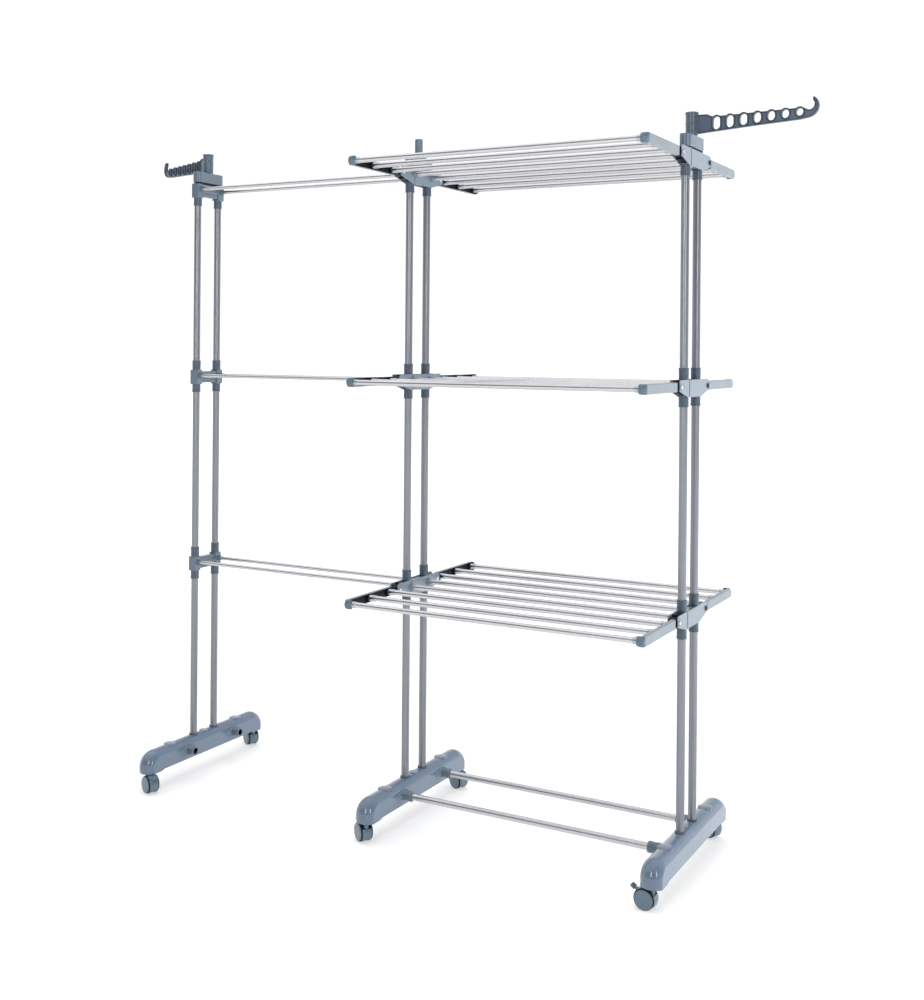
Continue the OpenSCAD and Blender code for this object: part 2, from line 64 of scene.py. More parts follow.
def middle(node, axis):
    """Middle of a CAD node's box along one axis."""
    lo, hi = box_mm(node)
    return (lo[axis] + hi[axis]) / 2


def joint_at(name):
    """Place of a joint, in millimetres."""
    return Vector(joints[name]["pos_m"]) / MM


# Sizes of the CAD's tubes and plugs, and how far a wing's three tubes are from the middle plane.
POST_R, PLUG_R = 9.5, 15.5
SHELF_D, ROD_D, RAIL_D = 13, 10, 16
WING_TUBE_Y = (126, 213, 300)

# Places read from the frame.
FRAME_X = {f: middle("foot_" + f, 0) for f in FRAMES}
POST_Y = box_mm("posts_left")[1][1] - POST_R
RAIL_Y = box_mm("bottom_rails")[1][1] - RAIL_D / 2
RAIL_Z = middle("bottom_rails", 2)
PLUG_Y = box_mm("foot_plugs")[1][1] - PLUG_R
TUBE_Z = {t: middle(f"wing_{t}_front_tubes", 2) for t in TIERS}
HINGE_Y = abs(joints["wing_low_front_hinge"]["pos_m"][1]) / MM
AXLE_Z = joints["castor_left_front_roll"]["pos_m"][2] / MM


# ---------- materials ----------

class Nodes:
    """A material's node tree, built with short calls."""

    def __init__(self, name):
        self.material = bpy.data.materials.new(name)
        self.material.use_nodes = True
        self.tree = self.material.node_tree
        self.shader = self.tree.nodes["Principled BSDF"]
        self.coords = self.tree.nodes.new("ShaderNodeTexCoord").outputs["Object"]

    def add(self, kind, inputs=None, **settings):
        """A new node with its inputs linked to sockets or set to values."""
        node = self.tree.nodes.new("ShaderNode" + kind)
        for key, value in settings.items():
            setattr(node, key, value)
        for key, value in (inputs or {}).items():
            if isinstance(value, bpy.types.NodeSocket):
                self.tree.links.new(value, node.inputs[key])
            else:
                node.inputs[key].default_value = value
        return node

    def stretched(self, scale):
        """Object coordinates, scaled per axis."""
        return self.add("Mapping", {"Vector": self.coords, "Scale": scale}).outputs["Vector"]

    def noise(self, scale, detail, stretch=(1, 1, 1)):
        """Noise over the object, drawn out along an axis whose stretch is small."""
        inputs = {"Vector": self.stretched(stretch), "Scale": scale, "Detail": detail,
                  "Roughness": 0.55}
        return self.add("TexNoise", inputs).outputs["Fac"]

    def spread(self, value, low, high):
        """Maps a noise's usual 0.3 to 0.7 onto low to high."""
        inputs = {"Value": value, "From Min": 0.3, "From Max": 0.7, "To Min": low, "To Max": high}
        return self.add("MapRange", inputs).outputs["Result"]

    def blend(self, factor, a, b):
        """Mixes two colours, each a socket or a plain one."""
        node = self.add("Mix", {"Factor": factor}, data_type="RGBA")
        for socket, colour in (("A", a), ("B", b)):
            slot = next(i for i in node.inputs if i.name == socket and i.type == "RGBA")
            if isinstance(colour, bpy.types.NodeSocket):
                self.tree.links.new(colour, slot)
            else:
                slot.default_value = (*colour, 1)
        return next(o for o in node.outputs if o.type == "RGBA")

    def bump(self, height, strength, distance, under=None):
        """A bump on top of another one, if that is given."""
        inputs = {"Height": height, "Strength": strength, "Distance": distance}
        if under is not None:
            inputs["Normal"] = under
        return self.add("Bump", inputs).outputs["Normal"]

    def finish(self, **sockets):
        """Fills the shader's sockets and returns the material."""
        for key, value in sockets.items():
            socket = self.shader.inputs[key.replace("_", " ")]
            if isinstance(value, bpy.types.NodeSocket):
                self.tree.links.new(value, socket)
            else:
                socket.default_value = value
        return self.material


def toned(colour, by):
    """The colour made darker (by under 1) or lighter."""
    return tuple(c * by for c in colour)


def moulded(name, colour, rough, grain=0.012, coat=0.0, index=1.5):
    """Moulded plastic: faint flow marks, a fine grain, and dust-dulled patches."""
    n = Nodes(name)
    clouds = n.noise(9, 4)
    flow = n.noise(26, 3, (1, 1, 3.5))
    specks = n.noise(1500, 2)
    tone = n.blend(n.spread(clouds, 0, 1), toned(colour, 0.93), toned(colour, 1.06))
    tone = n.blend(n.spread(flow, 0, 0.35), tone, toned(colour, 1.12))
    level = n.spread(n.noise(48, 5), rough * 0.82, rough * 1.22)
    normal = n.bump(n.noise(11, 2), 0.03, 0.002)
    normal = n.bump(specks, grain * 2, 0.0001, normal)
    return n.finish(Base_Color=tone, Roughness=level, Normal=normal, IOR=index,
                    Coat_Weight=coat, Coat_Roughness=0.08)


def tubing(name, colour, rough, along, metal=1.0):
    """Drawn steel tube: fine lines along its length and faint blotches in the finish."""
    n = Nodes(name)
    fine = [700, 700, 700]
    fine[along] = 4
    coarse = [90, 90, 90]
    coarse[along] = 0.8
    lines = n.noise(1, 3, fine)
    bands = n.noise(1, 2, coarse)
    blotch = n.noise(14, 4)
    tone = n.blend(n.spread(bands, 0, 1), toned(colour, 0.95), toned(colour, 1.05))
    tone = n.blend(n.spread(blotch, 0, 0.3), tone, toned(colour, 0.95))
    level = n.spread(lines, rough * 0.9, rough * 1.12)
    normal = n.bump(lines, 0.02, 0.0001)
    return n.finish(Base_Color=tone, Roughness=level, Metallic=metal, Normal=normal)


def coated(name, colour, rough):
    """Powder-coated metal with a fine orange-peel skin."""
    n = Nodes(name)
    tone = n.blend(n.spread(n.noise(18, 4), 0, 1), toned(colour, 0.95), toned(colour, 1.04))
    level = n.spread(n.noise(60, 3), rough * 0.92, rough * 1.1)
    normal = n.bump(n.noise(700, 2), 0.02, 0.0002)
    return n.finish(Base_Color=tone, Roughness=level, Normal=normal, Coat_Weight=0.1,
                    Coat_Roughness=0.3)


# Materials by use. A tube's fine lines run along one axis.
ALONG_X, ALONG_Z = 0, 2
M = {
    "foot": moulded("foot_plastic", (0.110, 0.157, 0.222), 0.15, coat=0.4),
    "bracket": moulded("bracket_plastic", (0.160, 0.205, 0.250), 0.22),
    "cap": moulded("cap_plastic", (0.108, 0.146, 0.188), 0.18),
    "sleeve": moulded("slate_plastic", (0.052, 0.078, 0.112), 0.26),
    "hanger": moulded("hanger_plastic", (0.072, 0.102, 0.140), 0.28),
    # The hanger rims take a darker copy of the hanger plastic: painted shade of the recessed
    # scallops.
    "rim": moulded("hanger_rim_painted_shade", (0.032, 0.050, 0.075), 0.30),
    "nose": moulded("nose_plastic", (0.078, 0.122, 0.162), 0.26, coat=0.2),
    "castor": moulded("castor_plastic", (0.090, 0.140, 0.185), 0.24, coat=0.2),
    "post": tubing("post_steel", (0.240, 0.252, 0.282), 0.32, ALONG_Z, metal=0.85),
    "rail": tubing("rail_steel", (0.530, 0.535, 0.565), 0.26, ALONG_X),
    "shelf": tubing("shelf_steel", (0.560, 0.562, 0.582), 0.24, ALONG_X),
    "ferrule": tubing("ferrule_steel", (0.400, 0.460, 0.510), 0.24, ALONG_X),
    "pin": tubing("pin_steel", (0.700, 0.700, 0.710), 0.30, ALONG_X),
    "arm": coated("arm_paint", (0.180, 0.216, 0.248), 0.36),
    "black": moulded("black_plastic", (0.003, 0.004, 0.006), 0.45, grain=0.02, index=1.25),
    "tread": moulded("wheel_plastic", (0.006, 0.007, 0.008), 0.50, grain=0.03, index=1.30),
}


# ---------- mesh tools ----------

TIPPED = Matrix.Rotation(math.radians(90), 4, "X")


def at(x, y, z):
    """A place with the rack's own axes."""
    return Matrix.Translation((x, y, z))


def along_x(x, y, z, turn=1):
    """A place whose local +Z runs along the rack's +X (or -X)."""
    return at(x, y, z) @ Matrix.Rotation(math.radians(90 * turn), 4, "Y")


def along_y(x, y, z):
    """A place whose local +Z runs along the rack's +Y."""
    return at(x, y, z) @ Matrix.Rotation(math.radians(-90), 4, "X")


def across(x):
    """A place whose local X, Y and Z run along the rack's Y, Z and X."""
    return Matrix(((0, 0, 1, x), (1, 0, 0, 0), (0, 1, 0, 0), (0, 0, 0, 1)))


def arc(cx, cy, rx, ry, a0, a1, n):
    """Points of an elliptical arc from angle a0 to a1, in degrees."""
    turn = [math.radians(a0 + (a1 - a0) * i / n) for i in range(n + 1)]
    return [(cx + rx * math.cos(a), cy + ry * math.sin(a)) for a in turn]


def revolve(bm, place, profile, segments=48, closed=False):
    """Turns (radius, height) points about local Z. A closed profile makes a ring or a tube."""
    rings = []
    for r, h in profile:
        if r < 1e-6:
            rings.append([bm.verts.new(place @ Vector((0, 0, h)))])
            continue
        turn = [2 * math.pi * i / segments for i in range(segments)]
        rings.append([bm.verts.new(place @ Vector((r * math.cos(a), r * math.sin(a), h)))
                      for a in turn])
    pairs = list(zip(rings, rings[1:] + rings[:1])) if closed else list(zip(rings, rings[1:]))
    for a, b in pairs:
        for i in range(segments):
            j = (i + 1) % segments
            quad = [a[i % len(a)], a[j % len(a)], b[j % len(b)], b[i % len(b)]]
            loop = list(dict.fromkeys(quad))
            if len(loop) > 2:
                bm.faces.new(loop)


def rounded(r, z0, z1, edge):
    """Profile of a solid disc or rod with rounded rims."""
    low = [(r - edge + edge * math.sin(a), z0 + edge - edge * math.cos(a))
           for a in (0, math.pi / 6, math.pi / 3, math.pi / 2)]
    high = [(x, z0 + z1 - z) for x, z in reversed(low)]
    return [(0, z0), *low, *high, (0, z1)]


SHARP_EDGE = math.radians(28)


def prism(bm, place, outline, z0, z1, edge=0.0, steps=2):
    """Extrudes an outline along local Z and rounds its sharp edges."""
    part = bmesh.new()
    low = [part.verts.new((x, y, z0)) for x, y in outline]
    high = [part.verts.new((x, y, z1)) for x, y in outline]
    part.faces.new(list(reversed(low)))
    part.faces.new(high)
    for i in range(len(outline)):
        j = (i + 1) % len(outline)
        part.faces.new([low[i], low[j], high[j], high[i]])
    bmesh.ops.recalc_face_normals(part, faces=part.faces)
    if edge:
        sharp = [e for e in part.edges if e.calc_face_angle(0) > SHARP_EDGE]
        bmesh.ops.bevel(part, geom=sharp, offset=edge, segments=steps, profile=0.5,
                        affect="EDGES", clamp_overlap=True)
    absorb(bm, part, place)


def absorb(bm, part, place):
    """Adds one bmesh to another, moved to its place, and frees it."""
    found = {v: bm.verts.new(place @ v.co) for v in part.verts}
    for f in part.faces:
        bm.faces.new([found[v] for v in f.verts])
    part.free()


def block(bm, place, lo, hi, edge, steps=2):
    """A box between two corners with rounded edges."""
    outline = [(lo[0], lo[1]), (hi[0], lo[1]), (hi[0], hi[1]), (lo[0], hi[1])]
    prism(bm, place, outline, lo[2], hi[2], edge, steps)


def new_object(name, data):
    """An object of its own in the scene."""
    made = bpy.data.objects.new(name, data)
    bpy.context.scene.collection.objects.link(made)
    return made


def piece(name, bm, material, body, nodes=(), sharp=32):
    """Makes the mesh a piece of the rack: it rides on a body and stands for CAD nodes."""
    bmesh.ops.recalc_face_normals(bm, faces=bm.faces)
    bmesh.ops.scale(bm, vec=(MM, MM, MM), verts=bm.verts)
    mesh = bpy.data.meshes.new(name)
    bm.to_mesh(mesh)
    bm.free()
    mesh.shade_smooth()
    mesh.set_sharp_from_angle(angle=math.radians(sharp))
    made = new_object(name, mesh)
    mesh.materials.append(M[material])
    made.modifiers.new("even_normals", "WEIGHTED_NORMAL").keep_sharp = True
    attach(made, body)
    if nodes:
        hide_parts(*nodes)
    return made


def dress(node, material):
    """Keeps a CAD node and gives it a better material."""
    shown = frame["nodes"][node]
    shown.data.materials.clear()
    shown.data.materials.append(M[material])


def skin(bm, rows, closed=False):
    """Faces between neighbouring rows of vertices; closed rows are loops."""
    for a, b in zip(rows, rows[1:]):
        n = len(a)
        for i in range(n if closed else n - 1):
            bm.faces.new([a[i], a[(i + 1) % n], b[(i + 1) % n], b[i]])


def rim(bm, place, outer, inner, z0, z1):
    """A raised rim between two loops of points, with chamfered corners."""
    edge, share = 0.8, 0.25

    def rail(t, z):
        spots = [(p[0] + (q[0] - p[0]) * t, p[1] + (q[1] - p[1]) * t) for p, q in zip(outer, inner)]
        return [bm.verts.new(place @ Vector((x, y, z))) for x, y in spots]

    rails = [rail(0, z0 + edge), rail(0, z1 - edge), rail(share, z1), rail(1 - share, z1),
             rail(1, z1 - edge), rail(1, z0 + edge), rail(1 - share, z0), rail(share, z0)]
    skin(bm, rails + rails[:1], closed=True)


def pulled_in(loop, by):
    """The loop's points moved inward; the loop runs counter-clockwise."""
    made = []
    for i, here in enumerate(loop):
        before, after = loop[i - 1], loop[(i + 1) % len(loop)]
        along = Vector((after[0] - before[0], after[1] - before[1])).normalized()
        made.append((here[0] - along.y * by, here[1] + along.x * by))
    return made


def stadium(cx, cy, r, straight):
    """A loop of two half circles, with twice the straight length between them."""
    return arc(cx, cy + straight, r, r, 0, 180, 14) + arc(cx, cy - straight, r, r, 180, 360, 14)


def holed(bm, place, outer, holes, z0, z1):
    """A flat plate with holes, from loops of points."""
    part = bmesh.new()
    for loop in (outer, *holes):
        verts = [part.verts.new((x, y, z0)) for x, y in loop]
        for a, b in zip(verts, verts[1:] + verts[:1]):
            part.edges.new((a, b))
    bmesh.ops.triangle_fill(part, use_beauty=True, edges=part.edges)
    grown = bmesh.ops.extrude_face_region(part, geom=part.faces[:] + part.edges[:] + part.verts[:])
    moved = [v for v in grown["geom"] if isinstance(v, bmesh.types.BMVert)]
    bmesh.ops.translate(part, verts=moved, vec=(0, 0, z1 - z0))
    absorb(bm, part, place)


# ---------- feet ----------

FOOT_LO, FOOT_HI = box_mm("foot_left")
FOOT_HALF, FOOT_TOP, FOOT_LOW = FOOT_HI[1], FOOT_HI[2], FOOT_LO[2]
FOOT_W = (FOOT_HI[0] - FOOT_LO[0]) / 2
ROOF_R = 28.8
NOSE_REACH, NOSE_Z = 42, 66
LIP = 0.8
ARCH_Y, ARCH_TOP_Y, ARCH_Z = 196, 186, 52.5
SHELL_WALL = 2.4


def foot_outline(inset, proud):
    """Side outline of a foot's skin, from its front low end to its back one."""
    end = FOOT_HALF - inset
    half = arc(FOOT_HALF - NOSE_REACH, NOSE_Z, NOSE_REACH - inset, FOOT_TOP - NOSE_Z - inset,
               90, 0, 16)
    half += [(end + proud, NOSE_Z - LIP), (end + proud, FOOT_LOW + 1.0), (end - 0.4, FOOT_LOW)]
    return [(-y, z) for y, z in reversed(half)] + half


def make_foot(f):
    """Hollow moulded bar: curved roof, flat sides with a soft crease, and a lip round each nose."""
    bm = bmesh.new()
    x, steps = FRAME_X[f], 12
    crease = math.asin(FOOT_W / ROOF_R)
    rows = []
    for i in range(-steps, steps + 1):
        a = crease * i / steps
        line = foot_outline(ROOF_R * (1 - math.cos(a)), LIP * math.cos(math.pi / 2 * i / steps))
        rows.append([bm.verts.new((x + ROOF_R * math.sin(a), y, z)) for y, z in line])
    skin(bm, rows)
    arch = [(ARCH_Y, FOOT_LOW), (ARCH_TOP_Y, ARCH_Z), (-ARCH_TOP_Y, ARCH_Z), (-ARCH_Y, FOOT_LOW)]
    low = []
    for row in (rows[0], rows[-1]):
        low.append([bm.verts.new((row[0].co.x, y, z)) for y, z in arch])
        bm.faces.new(row + low[-1])
    bm.faces.new([r[0] for r in rows] + [low[1][3], low[0][3]])
    bm.faces.new([r[-1] for r in rows] + [low[1][0], low[0][0]])
    crests = [bm.edges.get((p, q)) for row in (rows[0], rows[-1]) for p, q in zip(row, row[1:])]
    bmesh.ops.bevel(bm, geom=crests, offset=1.3, segments=3, profile=0.5, affect="EDGES",
                    clamp_overlap=True)
    made = piece("foot_shell_" + f, bm, "foot", "frame", ["foot_" + f], sharp=50)
    # The wall goes in before the weighted normals, which piece() added.
    wall = made.modifiers.new("wall", "SOLIDIFY")
    wall.thickness = SHELL_WALL * MM
    wall.offset = -1
    made.modifiers.move(1, 0)


def make_foot_fittings():
    """Plugs and post rings on the roofs, and the collars that take the bottom rails."""
    plugs, rings, collars, flares, mouth_shades = (bmesh.new() for _ in range(5))
    for f in FRAMES:
        x = FRAME_X[f]
        for s in BOTH:
            revolve(plugs, at(x, s * PLUG_Y, 0), [
                (17, 97), (17, FOOT_TOP - 0.4), (16.6, FOOT_TOP + 0.1), (15.4, FOOT_TOP + 0.4),
                (14.8, FOOT_TOP + 0.8), (13.4, FOOT_TOP + 1.1), (0, FOOT_TOP + 1.4)])
            revolve(rings, at(x, s * POST_Y, 0), [
                (12.2, 100), (12.2, FOOT_TOP + 1.4), (11.6, FOOT_TOP + 2.3), (10.4, FOOT_TOP + 2.6),
                (9.7, FOOT_TOP + 1.8), (9.6, 101)])
        revolve(plugs, at(x, 0, 0), [(12, 98), (12, FOOT_TOP + 0.2), (11.4, FOOT_TOP + 0.8),
                                     (0, FOOT_TOP + 1.0)])
        side = -1 if f == "right" else 1
        for s in BOTH:
            place = along_x(x + side * FOOT_W, s * RAIL_Y, RAIL_Z, side)
            make_collar(collars, place)
            make_flare(flares, place, side)
            # Black liners in the left foot's empty sockets: painted shade inside the mouths.
            if f == "left":
                revolve(mouth_shades, place, [(8.05, 2.4), (8.05, 28), (7.8, 28.4), (7.6, 28), (7.6, 3),
                                        (0, 3)])
    piece("foot_discs", plugs, "foot", "frame", ["foot_plugs"])
    # The post rings take the dark slate plastic: partly their own colour, partly painted shade at
    # each post's base.
    piece("foot_post_rings", rings, "sleeve", "frame", ["post_rings"])
    piece("foot_socket_mouth_shades", mouth_shades, "black", "frame")
    piece("foot_collars", collars, "cap", "frame", ["rail_sockets"])
    piece("foot_flares", flares, "foot", "frame", ["rail_sockets"])


def make_collar(bm, place):
    """Collar for a bottom rail, with a lip at its mouth."""
    revolve(bm, place, [(12.2, -1), (12.2, 20), (12.9, 21), (12.9, 28.4), (12.2, 29.6),
                        (9.2, 30), (8.1, 29.0), (8.1, 2), (0, 2)])


def make_flare(bm, place, side):
    """Fairing that narrows from a pointed oval on the foot's side to a collar's circle."""
    steps, points = 5, 32
    half_long, over, under = 33, 9.5, 12.6
    collar_r, reach, sunk = 12.8, 9, 0.4
    rows = []
    for k in range(steps + 1):
        t = k / steps
        ease = t * t * (3 - 2 * t)
        row = []
        for i in range(points):
            c, u = math.cos(2 * math.pi * i / points), math.sin(2 * math.pi * i / points)
            wide = half_long * math.copysign(abs(c) ** 1.3, c)
            up = over * u if u > 0 else under * u
            y, z = wide + (collar_r * c - wide) * ease, up + (collar_r * u - up) * ease
            row.append(bm.verts.new(place @ Vector((-side * z, y, reach * t - sunk))))
        rows.append(row)
    skin(bm, rows, closed=True)


# ---------- brackets ----------

TUBE_RISE = 4
TIER_Z = {t: TUBE_Z[t] - TUBE_RISE for t in TIERS}
CHEEK_IN, CHEEK_OUT = 9.5, 12.5     # from a frame's middle plane
SLEEVE_DOWN, SLEEVE_UP, SLEEVE_UP_TOP = 42, 46, 20


def sleeve(bm, x, y, tier):
    """A sleeve round a post, with a lip at each end."""
    z0 = TIER_Z[tier] - SLEEVE_DOWN
    z1 = TIER_Z[tier] + (SLEEVE_UP_TOP if tier == "top" else SLEEVE_UP)
    revolve(bm, at(x, y, 0), [
        (9.7, z0), (11.2, z0), (11.8, z0 + 0.7), (11.8, z0 + 4.4), (11.4, z0 + 5), (11.4, z1 - 5),
        (11.8, z1 - 4.4), (11.8, z1 - 0.7), (11.2, z1), (9.7, z1)])


def boss(bm, x, y, z, side, d):
    """A short ring that holds the end of a fixed tube."""
    r = d / 2
    revolve(bm, along_x(x, y, z, side), [(r + 3, -1), (r + 2.1, 0.8), (r + 2.1, 7.2),
                                         (r + 1.5, 8), (r + 0.1, 8), (r + 0.1, 4)])


def hinged_bracket(bm, dark, x, tier):
    """Two cheeks that carry the ears, a sunk core between them, and a proud panel outside."""
    z = TIER_Z[tier]
    half = [(98.5, 20), (103.6, 14.5), (103.8, -3), (101, -6), (47, -20)]
    ears = [(y, z + h) for y, h in half] + [(-y, z + h) for y, h in reversed(half)]
    for m in BOTH:
        near, far = sorted((m * CHEEK_IN, m * CHEEK_OUT))
        prism(bm, across(x), list(reversed(ears)), near, far, 0.9, 3)
        near, far = sorted((m * 11.5, m * 13.4))
        block(bm, at(x, 0, z), (near, -38.5, -19), (far, 38.5, 19), 0.8, 3)
        for s in BOTH:
            revolve(bm, along_x(x + m * 12.4, s * HINGE_Y, z + TUBE_RISE, m), [
                (8.2, -0.4), (8.0, 0.7), (7.4, 1.0), (6.2, 1.0), (5.8, 0.4)])
    block(bm, at(x, 0, z), (-9.8, -55.8, -17), (9.8, 55.8, 17), 0.8)
    for s in BOTH:
        sleeve(dark, x, s * POST_Y, tier)
        if tier == "top":
            revolve(dark, at(x, s * POST_Y, z + 12), rounded(9.6, 0, 8, 0.8))


def make_hinged_brackets():
    """The brackets that carry the wings, with a thin black sheet beside each panel, painted shade of
    the slit there.
    """
    for f in ("middle", "right"):
        bm, dark, slit_shades = bmesh.new(), bmesh.new(), bmesh.new()
        x = FRAME_X[f]
        for t in TIERS:
            hinged_bracket(bm, dark, x, t)
            for s in BOTH:
                # Thin black sheets beside each panel: painted shade of the slit.
                block(slit_shades, at(x, s * 39.2, TIER_Z[t]), (-12.7, -0.8, -18.6), (12.7, 0.8, 18.6),
                      0.1, 1)
                y = s * POST_Y
                if f == "middle":
                    boss(bm, x - CHEEK_OUT, y, TUBE_Z[t], -1, ROD_D)
                    boss(bm, x + CHEEK_OUT, y, TUBE_Z[t], 1, SHELF_D)
                else:
                    boss(bm, x - CHEEK_OUT, y, TUBE_Z[t], -1, SHELF_D)
        piece("bracket_slit_shades_" + f, slit_shades, "black", "frame")
        piece("bracket_bodies_" + f, bm, "bracket", "frame", ["brackets_" + f])
        piece("bracket_sleeves_" + f, dark, "sleeve", "frame",
              ["brackets_" + f])


def make_plain_brackets():
    """The left frame's brackets: two upright blocks, joined by a web and four bars."""
    bm, dark = bmesh.new(), bmesh.new()
    x = FRAME_X["left"]
    for t in TIERS:
        z = TIER_Z[t]
        block(bm, at(x, 0, z), (-8, -40, -16), (8, 40, 16), 1.2)
        for s in BOTH:
            block(bm, at(x, s * 43.5, z), (-CHEEK_OUT, -11.5, -20), (CHEEK_OUT, 11.5, 20), 2.2, 4)
            revolve(bm, along_y(x + s * 7, -33, z), rounded(4.8, 0, 66, 0.8))
            revolve(bm, along_y(x + s * 6.4, -33, z - 11), rounded(2.6, 0, 66, 0.6))
            sleeve(dark, x, s * POST_Y, t)
            boss(bm, x + CHEEK_OUT, s * POST_Y, TUBE_Z[t], 1, ROD_D)
    piece("bracket_bodies_left", bm, "cap", "frame", ["brackets_left"])
    piece("bracket_sleeves_left", dark, "sleeve", "frame", ["brackets_left"])


def make_pins():
    """Hinge pins with a domed head on both sides, and black discs over the rear outer ones, painted
    shade of the pin recesses.
    """
    bm = bmesh.new()
    for f in ("middle", "right"):
        for t in TIERS:
            for s in BOTH:
                for m in BOTH:
                    revolve(bm, along_x(FRAME_X[f] + m * 12.2, s * HINGE_Y, TUBE_Z[t], m), [
                        (3, -25), (3, 0), (5.2, 0.1), (5.2, 1.1), (4.6, 1.9), (3.0, 2.4), (0, 2.6)],
                        32)
    piece("hinge_rivets", bm, "pin", "frame", ["hinge_pins"])
    # Black discs on the right frame's rear outer pins: painted shade of the pin recesses.
    bm = bmesh.new()
    for t in TIERS:
        revolve(bm, along_x(FRAME_X["right"] + 12.4, HINGE_Y, TUBE_Z[t]), [
            (5.6, -1), (5.6, 2.2), (4.8, 2.9), (0, 3.0)], 32)
    piece("hinge_recess_shades", bm, "black", "frame")


# ---------- caps, stubs and hanger arms ----------

CAP_LO, CAP_HI = box_mm("top_caps")


def make_caps():
    """Caps over the post tops with their stubs, and a black band under each, painted shade of the
    gap there.
    """
    bm, dark = bmesh.new(), bmesh.new()
    z0, z1 = CAP_LO[2] + 1, CAP_LO[2] + 33
    for f in FRAMES:
        x = FRAME_X[f]
        ends = arc(0, 43, 13.8, 11.8, 0, 180, 14) + arc(0, -43, 13.8, 11.8, 180, 360, 14)
        prism(bm, at(x, 0, 0), ends, z0 + 2.6, z1, 2.0, 3)
        revolve(bm, at(x, 0, 0), [(11.6, z1 - 1), (11.4, z1 + 0.4), (10.3, z1 + 1.2),
                                  (10.25, CAP_HI[2] - 1.4), (9.0, CAP_HI[2]), (7.4, CAP_HI[2]),
                                  (7.0, CAP_HI[2] - 1), (0, CAP_HI[2] - 1.2)])
        # Black band under each cap: painted shade of the gap between cap and bracket.
        block(dark, at(x, 0, 0), (-11.5, -46, z0 - 1), (11.5, 46, z0 + 3), 0.3, 1)
    piece("cap_bodies", bm, "cap", "frame", ["top_caps"])
    piece("cap_gap_shades", dark, "black", "frame")


HANGER_TURN = {"left": 180 - 24, "right": -4.5}


def make_hanger(f):
    """Arm with a thin web, a rim round its edge and round each hole, and a ringed hub."""
    body = "hanger_" + f
    base = box_mm(body)[0][2]
    low, top = base + 2, base + 41
    root, reach, rim_w = 12.5, 292, 3.8
    first, pitch, last = 60, 31.7, 6
    outline = [(root, low), (first, low + 2.3), (first + 3 * pitch, low + 6.9),
               (first + last * pitch, low + 10.5)]
    outline += arc(reach - 27, top - 1, 27, 25, -78, 55, 16)
    outline += arc(reach - 20.5, top + 2.5, 11.5, 11.5, 50, -100, 14)
    holes = []
    for i in range(last + 1):
        r, straight = 9 - 0.12 * i, 5.6 * (1 - i / last)
        holes.append((first + i * pitch, top - rim_w - r - straight, r, straight))
    for cx, cy, r, straight in reversed(holes):
        outline += arc(cx, cy + straight, r + rim_w, r + rim_w, 48, 132, 8)
    outline += [(first - 22, top + 3), (root, top + 4)]
    turn = Matrix.Rotation(math.radians(HANGER_TURN[f]), 4, "Z")
    place = at(FRAME_X[f], 0, 0) @ turn @ TIPPED
    bm = bmesh.new()
    holed(bm, place, pulled_in(outline, 0.5),
          [stadium(cx, cy, r + 0.5, straight) for cx, cy, r, straight in holes], -2.0, 2.0)
    lips = bmesh.new()
    rim(lips, place, outline, pulled_in(outline, 2.4), -4.8, 4.8)
    for cx, cy, r, straight in holes:
        rim(lips, place, stadium(cx, cy, r + 3.0, straight), stadium(cx, cy, r, straight), -5, 5)
    hub = at(FRAME_X[f], 0, base)
    revolve(bm, hub, [(10.4, 0), (13.4, 0), (14.3, 1), (14.3, 23.6), (15.0, 24.3), (15.1, 27.2),
                      (14.3, 28), (14.3, 46.6), (15.4, 47.6), (15.5, 50.6), (14.6, 52),
                      (3.2, 52.1), (2.6, 51.4), (0, 51.3)])
    block(bm, place, (8, low, -4.9), (16, top + 3.6, 4.9), 0.9)
    piece("hanger_arm_" + f, bm, "hanger", body, [body])
    # The rims get the darker plastic: painted shade along the scalloped edges and holes.
    piece("hanger_shaded_rims_" + f, lips, "rim", body, [body])


# ---------- wings, drawn with local +X toward the tubes and +Y outward ----------

ARM_HALF_Z = 11
NOSE_LEN = 10.5


def channel(bm, place, length):
    """A rolled channel with rounded corners and short lips, open along one side."""
    bend, inside = 2.4, 9.7
    centre = ARM_HALF_Z - bend
    loop = [(-0.6, ARM_HALF_Z), *arc(-7.6, centre, bend, bend, 90, 180, 5),
            *arc(-7.6, -centre, bend, bend, 180, 270, 5), (-0.6, -ARM_HALF_Z), (-0.2, -10.4),
            (-0.6, -inside), (-8.6, -inside), (-8.6, inside), (-0.6, inside), (-0.2, 10.4)]
    rows = []
    for y, grow in ((0, 0.97), (0.5, 1), (length - 0.5, 1), (length, 0.97)):
        rows.append([bm.verts.new(place @ Vector((x, y, z * grow))) for x, z in loop])
    skin(bm, rows, closed=True)
    bm.faces.new(rows[0])
    bm.faces.new(rows[-1])


def dome(bm, place, length):
    """A thimble-shaped nose that closes the end of an arm: square at its root, round at its tip."""
    sides, half_x = 40, 10
    flank, corner, flare = 2.3, 5, 1.035
    rows = []
    for t in (-0.02, 0, 0.15, 0.35, 0.55, 0.72, 0.85, 0.94, 0.985):
        far = max(t, 0)
        size = (1 - far ** flank) ** (1 / flank) * (flare if t >= 0 else 1.0)
        row = []
        for i in range(sides):
            c, u = math.cos(2 * math.pi * i / sides), math.sin(2 * math.pi * i / sides)
            square = (abs(c) ** corner + abs(u) ** corner) ** (-1 / corner)
            reach = size * (square + (1 - square) * min(far * 1.4, 1))
            spot = Vector((half_x * c * reach, length * t, ARM_HALF_Z * u * reach))
            row.append(bm.verts.new(place @ spot))
        rows.append(row)
    skin(bm, rows, closed=True)
    tip = bm.verts.new(place @ Vector((0, length, 0)))
    for i in range(sides):
        bm.faces.new([rows[-1][i], rows[-1][(i + 1) % sides], tip])


